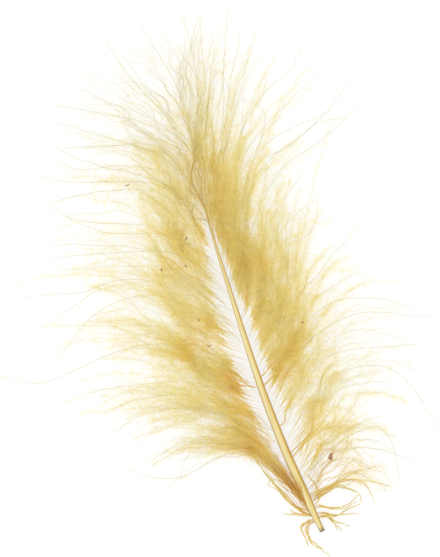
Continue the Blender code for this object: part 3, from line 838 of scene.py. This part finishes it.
def barbule_blades(barbs, per_mm, rng):
    """The barbules, each a fine blade.

    Nearest the root they lie tight along their barb, on the fluffy part they stand off it and are longest, and
    towards the tip they lie along it again, shorter and fewer.
    """
    paths = barbs.paths
    count, steps, _ = paths.shape
    along = np.linspace(0, 1, steps)
    far = lengths_along(paths)
    started = np.clip((far - barbs.bare[:, None]) / 1.2, 0, 1)
    loose = np.clip((far - barbs.tight[:, None]) / 2.5, 0, 1)
    ended = np.clip((along - barbs.fluffy[:, None]) / FADE_SHARE, 0, 1)

    def blend(tight, fluffy, thin):
        return (tight * (1 - loose) + fluffy * loose) * (1 - ended) + thin * ended

    density = started * blend(0.75, 1.0, THIN_SHARE) * barbs.full[:, None] * barbs.patches
    size = blend(0.5, 1.0, 1.1) * (1 - 0.6 * along**3) * barbs.long[:, None]
    angle = blend(9.0, 60.0, 60.0)
    width = blend(1.2, 1.0, 0.8)
    rows, shares = [], []
    for i in range(count):
        heap = np.concatenate([[0], np.cumsum((density[i, 1:] + density[i, :-1]) / 2 * np.diff(far[i]))])
        number = int(heap[-1] * per_mm)
        if number > 0:
            rows.append(np.full(number, i))
            shares.append(np.interp(rng.uniform(0, heap[-1], number), heap, along))
    rows, shares = np.concatenate(rows), np.concatenate(shares)
    number = len(rows)
    low = np.minimum((shares * (steps - 1)).astype(int), steps - 2)
    part = shares * (steps - 1) - low

    def here(table):
        """What the table, with a row for each barb, says where each barbule grows."""
        weight = part if table.ndim == 2 else part[:, None]
        return table[rows, low] * (1 - weight) + table[rows, low + 1] * weight

    base, way = here(paths), here(directions(paths))
    side, up = square_to(way)
    roll = rng.uniform(0, 2 * math.pi, number)
    slant = np.radians(here(angle) * rng.uniform(0.4, 1.6, number))
    out = up * (0.7 * np.sin(roll))[:, None] - side * np.cos(roll)[:, None]
    way_out = way * np.cos(slant)[:, None] + out * np.sin(slant)[:, None]
    long = BARBULE_LENGTH * here(size) * rng.uniform(0.5, 1.25, number)
    flat = unit(np.cross(way_out, UP + rng.normal(0, 0.4, (number, 3))))
    half = (BARBULE_WIDTH / 2 * here(width) * np.exp(rng.normal(0, 0.45, number)))[:, None]
    end = base + way_out * long[:, None]
    matted = (rng.uniform(0, 1, number) < MATTED_SHARE * here(loose))[:, None]
    wide, point = np.where(matted, end, base), np.where(matted, base, end)
    verts = np.stack([wide - flat * half, wide + flat * half, point], axis=1)
    verts[:, :, 2] = np.maximum(verts[:, :, 2], LOWEST_BARBULE)
    ochre = 0.6 * barbs.ochre[rows] * (1 - 0.75 * shares) + rng.normal(0, 0.12, number)
    ochre += 0.15 * np.maximum(here(barbs.patches) - 1, 0)
    ochre = np.repeat(ochre + 0.8 * nearby(base, STAINS), 3)
    marks = {"ochre": ochre, "shaft": np.zeros(len(ochre))}
    u = np.clip(shares, 0.01, 0.99)[:, None] + np.array([-0.004, 0.004, 0.0])
    v = (rows[:, None] + np.array([0.15, 0.15, 0.85])) / count
    bake = np.stack([u.reshape(-1), v.reshape(-1)], 1)
    return verts.reshape(-1, 3), np.arange(number * 3).reshape(-1, 3), marks, bake


def mesh_piece(name, parts, material, smooth=True):
    """One object from (vertices, triangles, marks by name, bake places or None), put where the feather lies."""
    verts, faces, marks, bake = zip(*parts)
    shifts = np.cumsum([0] + [len(part) for part in verts])
    verts = np.concatenate(verts) * MM + cut_end()
    faces = np.concatenate([part + shift for part, shift in zip(faces, shifts)]).astype(np.int32)
    mesh = bpy.data.meshes.new(name)
    mesh.vertices.add(len(verts))
    mesh.vertices.foreach_set("co", verts.astype(np.float32).ravel())
    mesh.loops.add(faces.size)
    mesh.loops.foreach_set("vertex_index", faces.ravel())
    mesh.polygons.add(len(faces))
    mesh.polygons.foreach_set("loop_start", np.arange(0, faces.size, 3, dtype=np.int32))
    mesh.update(calc_edges=True)
    mesh.polygons.foreach_set("use_smooth", np.full(len(faces), smooth))
    for mark_name in marks[0]:
        values = np.concatenate([part[mark_name] for part in marks])
        mark = mesh.attributes.new(mark_name, "FLOAT", "POINT")
        mark.data.foreach_set("value", np.clip(values, 0, 1).astype(np.float32))
    if bake[0] is not None:
        layer = mesh.uv_layers.new(name="OFBake")
        corners = np.clip(np.concatenate(bake), 0, 1)[faces.ravel()]
        layer.data.foreach_set("uv", corners.astype(np.float32).ravel())
    mesh.materials.append(material)
    piece = bpy.data.objects.new(name, mesh)
    bpy.context.scene.collection.objects.link(piece)
    return piece


class Material:
    """A material that is built up node by node."""

    def __init__(self, name):
        old = bpy.data.materials.get(name)
        if old:
            bpy.data.materials.remove(old)
        self.material = bpy.data.materials.new(name)
        self.material.use_nodes = True
        self.tree = self.material.node_tree
        self.tree.nodes.clear()

    def add(self, kind, inputs=None, **settings):
        """A new node with these settings; each input gets a value or the socket that feeds it."""
        node = self.tree.nodes.new(kind)
        for name, value in settings.items():
            setattr(node, name, value)
        for name, value in (inputs or {}).items():
            if isinstance(value, bpy.types.NodeSocket):
                self.tree.links.new(value, node.inputs[name])
            else:
                node.inputs[name].default_value = value
        return node

    def mark(self, name):
        """What the mesh is marked with under this name."""
        return self.add("ShaderNodeAttribute", attribute_name=name).outputs["Fac"]

    def noise(self, scale, detail, stretch=None):
        """Unevenness, finer where the scale is larger, and stretched along each axis if wanted."""
        place = self.add("ShaderNodeTexCoord").outputs["Object"]
        if stretch:
            place = self.add("ShaderNodeMapping", {"Scale": stretch, "Vector": place}).outputs["Vector"]
        return self.add("ShaderNodeTexNoise", {"Scale": scale, "Detail": detail, "Vector": place}).outputs["Fac"]

    def ramp(self, factor, stops):
        """The colour that goes with a number, from stops of a number and a colour each."""
        node = self.add("ShaderNodeValToRGB", {"Fac": factor})
        while len(node.color_ramp.elements) < len(stops):
            node.color_ramp.elements.new(0.5)
        for element, (position, colour) in zip(node.color_ramp.elements, stops):
            element.position = position
            element.color = (*colour, 1.0)
        return node.outputs["Color"]

    def mix(self, factor, first, second, blend="MIX"):
        """Two colours mixed."""
        inputs = {"Factor": factor, "A": first, "B": second}
        return self.add("ShaderNodeMix", inputs, data_type="RGBA", blend_type=blend).outputs["Result"]

    def shader(self, colour, roughness, specular, **inputs):
        """The plain surface shader; inputs are its other inputs, with _ for the spaces in their names."""
        values = {"Base Color": colour, "Roughness": roughness, "Specular IOR Level": specular}
        values.update({name.replace("_", " "): value for name, value in inputs.items()})
        return self.add("ShaderNodeBsdfPrincipled", values).outputs["BSDF"]

    def done(self, surface):
        """The material, with this as its surface."""
        self.add("ShaderNodeOutputMaterial", {"Surface": surface})
        return self.material


def down_material(colours):
    """Thin golden down that lets half the light through, ochre where it is marked so, and mottled."""
    look = Material("golden_down")
    shift = {0: look.noise(140.0, 4.0), 1: MOTTLE, 2: -MOTTLE / 2}
    shift = look.add("ShaderNodeMath", shift, operation="MULTIPLY_ADD").outputs["Value"]
    ochre = look.add("ShaderNodeMath", {0: look.mark("ochre"), 1: shift}, operation="ADD").outputs["Value"]
    barbules = [(0.0, colours.pale_down), (0.3, colours.golden_down), (0.7, colours.ochre_down), (1.0, DEEP_OCHRE)]
    shafts = [(0.2, colours.shaft), (0.6, MIDDLE_SHAFT), (0.95, colours.brown_shaft)]
    colour = look.mix(look.mark("shaft"), look.ramp(ochre, barbules), look.ramp(ochre, shafts))
    outside = look.shader(colour, 0.7, 0.2)
    within = look.add("ShaderNodeBsdfTranslucent", {"Color": colour}).outputs["BSDF"]
    both = look.add("ShaderNodeMixShader", {"Fac": LIGHT_THROUGH, 1: outside, 2: within})
    return look.done(both.outputs["Shader"])


def quill_material(colours):
    """Glossy horn: pale and a little streaky on top, with painted shade along its edges and over the right of its top,
    and brown at the cut.
    """
    look = Material("quill_horn")
    # Painted shade across the quill: darker at both edges and over its right side.
    sides = [(0.0, colours.quill_edge_shade), (0.1, NEAR_EDGE_SHADE), (0.2, colours.quill)]
    sides += [(0.62, SHADED_TOP), (0.78, NEAR_FAR_EDGE_SHADE), (1.0, colours.quill_edge_shade)]
    streaks = look.noise(1.0, 3.0, HORN_STREAKS)
    tone = look.ramp(streaks, [(0.3, STREAK_SHADE), (0.7, WHITE)])
    colour = look.mix(0.5, look.ramp(look.mark("across"), sides), tone, "MULTIPLY")
    colour = look.mix(look.mark("thread"), colour, (*AGED_HORN, 1.0))
    colour = look.mix(look.mark("cut"), colour, (*CUT_BROWN, 1.0))
    rough = look.add("ShaderNodeMapRange", {"To Min": 0.28, "To Max": 0.5, "Value": streaks}).outputs["Result"]
    bump = look.add("ShaderNodeBump", {"Strength": 0.25, "Distance": 0.05 * MM, "Height": streaks})
    return look.done(look.shader(colour, rough, 0.45, Normal=bump.outputs["Normal"]))


def fleck_material(name, colour):
    """Dry, dull, uneven crumbs."""
    look = Material(name)
    pale = tuple(min(1.0, c * 1.7 + 0.02) for c in colour)
    tone = look.ramp(look.noise(2600.0, 5.0), [(0.3, colour), (0.75, pale)])
    return look.done(look.shader(tone, 0.8, 0.5))


def floor_material(colour):
    """White opal board, lit a little from beneath, with the faintest unevenness."""
    look = Material("white_board")
    tone = look.ramp(look.noise(900.0, 2.0), [(0.4, tuple(c * 0.99 for c in colour)), (0.6, colour)])
    lit = look.shader(tone, 0.9, 0.0, Emission_Color=(*WHITE, 1.0), Emission_Strength=BOARD_GLOW)
    return look.done(lit)


def quill_middle():
    """Evenly spaced places along the quill's middle, and its width at each."""
    stations = np.array(QUILL_STATIONS)
    along = np.linspace(0, stations[-1, 0], QUILL_RINGS)
    smooth = through(stations[None][:, :, [1, 0, 3]], 600)[0]
    middle = np.stack([np.interp(along, smooth[:, 1], smooth[:, k]) for k in range(3)], axis=1)
    middle[:, 1] = along
    return middle, np.interp(along, stations[:, 0], stations[:, 2])


def make_quill(colours):
    """The quill: round at the cut, flatter with a shallow groove farther up, drawn out to a wavy thread."""
    middle, width = quill_middle()
    along = middle[:, 1]
    deep, groove = np.interp(along, *QUILL_DEPTH), np.interp(along, *GROOVE_DEPTH)
    ways = directions(middle)
    side, up = square_to(ways)
    verts, across = [], []
    for k in range(QUILL_SIDES):
        c, s = math.cos(2 * math.pi * k / QUILL_SIDES), math.sin(2 * math.pi * k / QUILL_SIDES)
        out, high = math.copysign(abs(c) ** ROUNDNESS, c), math.copysign(abs(s) ** ROUNDNESS, s)
        dip = groove * max(0.0, s) * math.exp(-((c / GROOVE_WIDTH) ** 2))
        verts.append(middle + side * (out * width / 2)[:, None] + up * ((high * deep - dip * 2) * width / 2)[:, None])
        across.append(0.5 + 0.5 * c)
    verts = np.stack(verts, axis=1)
    cut = np.repeat(np.clip(1 - along / BROWN_REACH, 0, 1) * 0.95, QUILL_SIDES)
    shares, inward, browned = np.array(HOLLOW_RINGS).T[:, :, None]
    hollow = middle[0] + (verts[0] - middle[0]) * shares[:, None] + ways[0] * inward[:, None]
    rings = QUILL_RINGS + len(hollow)
    index = np.arange(rings * QUILL_SIDES).reshape(rings, QUILL_SIDES)
    walls, inner = index[:QUILL_RINGS], index[QUILL_RINGS:]
    hubs = np.array([middle[0] + ways[0] * HOLLOW_DEPTH, middle[-1] + ways[-1] * 0.1])
    floor_hub, tip_hub = index.size, index.size + 1
    floor = [(a, b, floor_hub) for a, b in zip(inner[-1], np.roll(inner[-1], -1))]
    tip = [(b, a, tip_hub) for a, b in zip(walls[-1], np.roll(walls[-1], -1))]
    mouth = bands(np.concatenate([walls[:1], inner]))
    faces = np.concatenate([bands(walls, inside_out=True), mouth, floor, tip])
    verts = np.concatenate([verts.reshape(-1, 3), hollow.reshape(-1, 3), hubs])
    marks = {
        "across": np.concatenate([np.tile(across, rings), [0.5, 0.5]]),
        "cut": np.concatenate([cut, np.repeat(browned, QUILL_SIDES), [1.0, 0.0]]),
        "thread": np.interp(verts[:, 1], *BROWNED),
    }
    return mesh_piece("quill", [(verts, faces, marks, None)], quill_material(colours))


def down_piece(name, barbs, sizes, rng, material):
    """One piece of down: its barbs and all their barbules."""
    hold_back(barbs.paths, 2, TOP_LIMIT)
    return mesh_piece(name, [barb_tubes(barbs), barbule_blades(barbs, sizes.barbules, rng)], material)


def make_flecks(name, rows, material, rng):
    """Small dry flakes caught in the down, each a curled scrap that lies on the barbs."""
    index = np.arange(FLECK_RINGS * FLECK_SIDES).reshape(FLECK_RINGS, FLECK_SIDES)
    near = [(0, k + 1, k) for k in range(1, FLECK_SIDES - 1)]
    far = [(index[-1, 0], index[-1, k], index[-1, k + 1]) for k in range(1, FLECK_SIDES - 1)]
    faces = np.concatenate([bands(index), near, far])
    around = 2 * math.pi * np.arange(FLECK_SIDES) / FLECK_SIDES
    share = np.linspace(-1, 1, FLECK_RINGS)[:, None]
    parts = []
    for x, y, long, wide, slant in rows:
        bend = rng.uniform(0.1, 0.35) * rng.choice((-1, 1))
        half = wide / 2 * (1 - share**2) ** 0.5 * rng.uniform(0.55, 1.25, (FLECK_RINGS, 1)) + 0.02
        px = long / 2 * share + 0.1 * half * np.cos(around) * rng.normal(0, 1, (FLECK_RINGS, 1))
        py = bend * long / 2 * (share**2 - 0.4) + half * np.cos(around)
        pz = (0.05 + 0.2 * half) * np.sin(around) + wide * rng.normal(0, 0.12, (FLECK_RINGS, 1))
        c, s = math.cos(math.radians(slant)), math.sin(math.radians(slant))
        verts = np.stack([x + px * c - py * s, y + px * s + py * c, fleck_height(x, y) + pz], axis=2)
        parts.append((verts.reshape(-1, 3), faces, {}, None))
    return mesh_piece(name, parts, material, smooth=False)


def fleck_height(x, y):
    """How high the down's top lies here, so that a crumb rests on it."""
    root = max(y - 4.0, 0.0)
    middle = quill_at(np.array([min(root, LAST_FIRM)]))[0][0]
    away = abs(x - middle[0])
    return middle[2] + 0.1 + np.interp(root, *RISE_LIMITS) * min(1.0, away / 14.0)


def ride_on(*pieces):
    """All of these lie still with the feather."""
    for piece in pieces:
        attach(piece, "root")


class FEATHER_OT_quill(bpy.types.Operator):
    """Makes the quill, from its cut end to its fine wavy tip"""

    bl_idname = "feather.quill"
    bl_label = "Quill"

    def execute(self, context):
        quill = make_quill(context.scene.feather_colours)
        ride_on(quill)
        return {"FINISHED"}


class FEATHER_OT_left_down(bpy.types.Operator):
    """Makes the long down left of the quill"""

    bl_idname = "feather.left_down"
    bl_label = "Left down"

    def execute(self, context):
        sizes = context.scene.feather_sizes
        rng = np.random.default_rng(sizes.seed)
        barbs = side_barbs(LEFT_GUIDES, sizes, Drift(rng), rng)
        material = down_material(context.scene.feather_colours)
        root = barbs.paths[:, 0, 1]
        pieces = [
            down_piece("left_down_lower", barbs.part(root < 36), sizes, rng, material),
            down_piece("left_down_middle", barbs.part((root >= 36) & (root < 66)), sizes, rng, material),
            down_piece("left_down_upper", barbs.part(root >= 66), sizes, rng, material),
        ]
        ride_on(*pieces)
        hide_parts("feather")
        return {"FINISHED"}


class FEATHER_OT_right_down(bpy.types.Operator):
    """Makes the down right of the quill, steeper and denser than the left"""

    bl_idname = "feather.right_down"
    bl_label = "Right down"

    def execute(self, context):
        sizes = context.scene.feather_sizes
        rng = np.random.default_rng(sizes.seed + 1)
        barbs = side_barbs(RIGHT_GUIDES, sizes, Drift(rng), rng)
        material = bpy.data.materials["golden_down"]
        root = barbs.paths[:, 0, 1]
        covering = single_barbs(COVERING_BARBS, rng, **COVERING_LOOK)
        ride_on(
            down_piece("right_down_lower", barbs.part(root < 40), sizes, rng, material),
            down_piece("right_down_middle", barbs.part((root >= 40) & (root < 62)), sizes, rng, material),
            down_piece("right_down_upper", barbs.part(root >= 62).with_also(covering), sizes, rng, material),
        )
        return {"FINISHED"}


class FEATHER_OT_strays(bpy.types.Operator):
    """Makes the single barbs that reach beyond the rest"""

    bl_idname = "feather.strays"
    bl_label = "Stray barbs"

    def execute(self, context):
        sizes = context.scene.feather_sizes
        rng = np.random.default_rng(sizes.seed + 2)
        barbs = single_barbs(STRAY_BARBS, rng, **STRAY_LOOK)
        ride_on(down_piece("stray_barbs", barbs, sizes, rng, bpy.data.materials["golden_down"]))
        return {"FINISHED"}


class FEATHER_OT_tufts(bpy.types.Operator):
    """Makes the ochre strands round the cut end and the strands that stick together"""

    bl_idname = "feather.tufts"
    bl_label = "Tufts and streaks"

    def execute(self, context):
        sizes = context.scene.feather_sizes
        rng = np.random.default_rng(sizes.seed + 3)
        material = bpy.data.materials["golden_down"]
        tufts = single_barbs(TUFT_STRANDS, rng, **TUFT_LOOK)
        streaks = single_barbs(STREAKS, rng, **STREAK_LOOK)
        far_streaks = single_barbs(FAR_STREAKS, rng, **FAR_STREAK_LOOK)
        threads = single_barbs(THREADS, rng, **THREAD_LOOK)
        bundle = single_barbs(BUNDLE, rng, **BUNDLE_LOOK)
        ride_on(
            down_piece("base_tufts", tufts, sizes, rng, material),
            down_piece("ochre_strands", streaks.with_also(far_streaks, bundle, threads), sizes, rng, material),
        )
        return {"FINISHED"}


class FEATHER_OT_flecks(bpy.types.Operator):
    """Makes the brown and grey flecks caught in the down"""

    bl_idname = "feather.flecks"
    bl_label = "Flecks"

    def execute(self, context):
        rng = np.random.default_rng(context.scene.feather_sizes.seed + 4)
        husk = context.scene.feather_colours.husk
        brown = [row[:5] for row in FLECKS if row[5]]
        grey = [row[:5] for row in FLECKS if not row[5]]
        ride_on(
            make_flecks("husk_flecks", brown, fleck_material("brown_husk", tuple(husk)), rng),
            make_flecks("grey_flecks", grey, fleck_material("grey_grit", GREY_GRIT), rng),
        )
        return {"FINISHED"}


class FEATHER_OT_stage(bpy.types.Operator):
    """Makes the white table, the soft lights and the camera that looks straight down"""

    bl_idname = "feather.stage"
    bl_label = "Stage"

    def execute(self, context):
        stage = context.scene.feather_stage
        bpy.ops.mesh.primitive_plane_add(size=6.0, location=(0, 0, 0))
        floor = context.object
        floor.name = "table"
        floor.data.materials.append(floor_material(tuple(stage.floor)))
        world = bpy.data.worlds.new("even_light")
        world.use_nodes = True
        world.node_tree.nodes["Background"].inputs["Color"].default_value = (1.0, 1.0, 1.0, 1.0)
        world.node_tree.nodes["Background"].inputs["Strength"].default_value = stage.light
        context.scene.world = world
        lamp = bpy.data.lights.new("overhead", "AREA")
        lamp.shape = "DISK"
        lamp.size = 0.8
        lamp.energy = stage.overhead
        light = bpy.data.objects.new("overhead", lamp)
        light.location = (-0.3, 0.25, 1.0)
        light.rotation_euler = (math.radians(-14), math.radians(-17), 0)
        context.scene.collection.objects.link(light)
        place_camera(stage.camera_height)
        context.scene.view_settings.view_transform = "Standard"
        return {"FINISHED"}


def place_camera(height):
    """Looks straight down, turned so that the feather leans as in the photograph."""
    right = np.array([math.cos(FEATHER_LEAN), -math.sin(FEATHER_LEAN)])
    up = np.array([math.sin(FEATHER_LEAN), math.cos(FEATHER_LEAN)])
    across = PHOTO_SIZE[0] / 2 - CUT_END_PIXEL[0]
    above = CUT_END_PIXEL[1] - PHOTO_SIZE[1] / 2
    middle = cut_end()[:2] + (right * across + up * above) * PIXEL * MM
    lens = bpy.data.cameras.new("from_above")
    lens.sensor_width = 36.0
    lens.lens = lens.sensor_width * height / (PHOTO_SIZE[1] * PIXEL * MM)
    lens.clip_end = 20.0
    camera = bpy.data.objects.new("from_above", lens)
    camera.location = (middle[0], middle[1], height)
    camera.rotation_euler = (0, 0, -FEATHER_LEAN)
    bpy.context.scene.collection.objects.link(camera)
    bpy.context.scene.camera = camera


class FEATHER_PT_panel(bpy.types.Panel):
    bl_label = "Downy goose feather"
    bl_idname = "FEATHER_PT_panel"
    bl_space_type = "VIEW_3D"
    bl_region_type = "UI"
    bl_category = "Feather"

    def draw(self, context):
        layout = self.layout
        for group in (context.scene.feather_sizes, context.scene.feather_colours, context.scene.feather_stage):
            box = layout.box()
            for name in group.__annotations__:
                box.prop(group, name)
        for operator in OPERATORS:
            layout.operator(operator.bl_idname)


OPERATORS = (
    FEATHER_OT_quill,
    FEATHER_OT_left_down,
    FEATHER_OT_right_down,
    FEATHER_OT_strays,
    FEATHER_OT_tufts,
    FEATHER_OT_flecks,
    FEATHER_OT_stage,
)
CLASSES = (FeatherSizes, FeatherColours, StageChoices, *OPERATORS, FEATHER_PT_panel)


def register():
    for cls in CLASSES:
        bpy.utils.register_class(cls)
    bpy.types.Scene.feather_sizes = PointerProperty(type=FeatherSizes)
    bpy.types.Scene.feather_colours = PointerProperty(type=FeatherColours)
    bpy.types.Scene.feather_stage = PointerProperty(type=StageChoices)


def unregister():
    del bpy.types.Scene.feather_sizes
    del bpy.types.Scene.feather_colours
    del bpy.types.Scene.feather_stage
    for cls in reversed(CLASSES):
        bpy.utils.unregister_class(cls)


def main():
    register()
    bpy.ops.feather.quill()
    bpy.ops.feather.left_down()
    bpy.ops.feather.right_down()
    bpy.ops.feather.strays()
    bpy.ops.feather.tufts()
    bpy.ops.feather.flecks()
    bpy.ops.feather.stage()


if __name__ == "__main__":
    main()
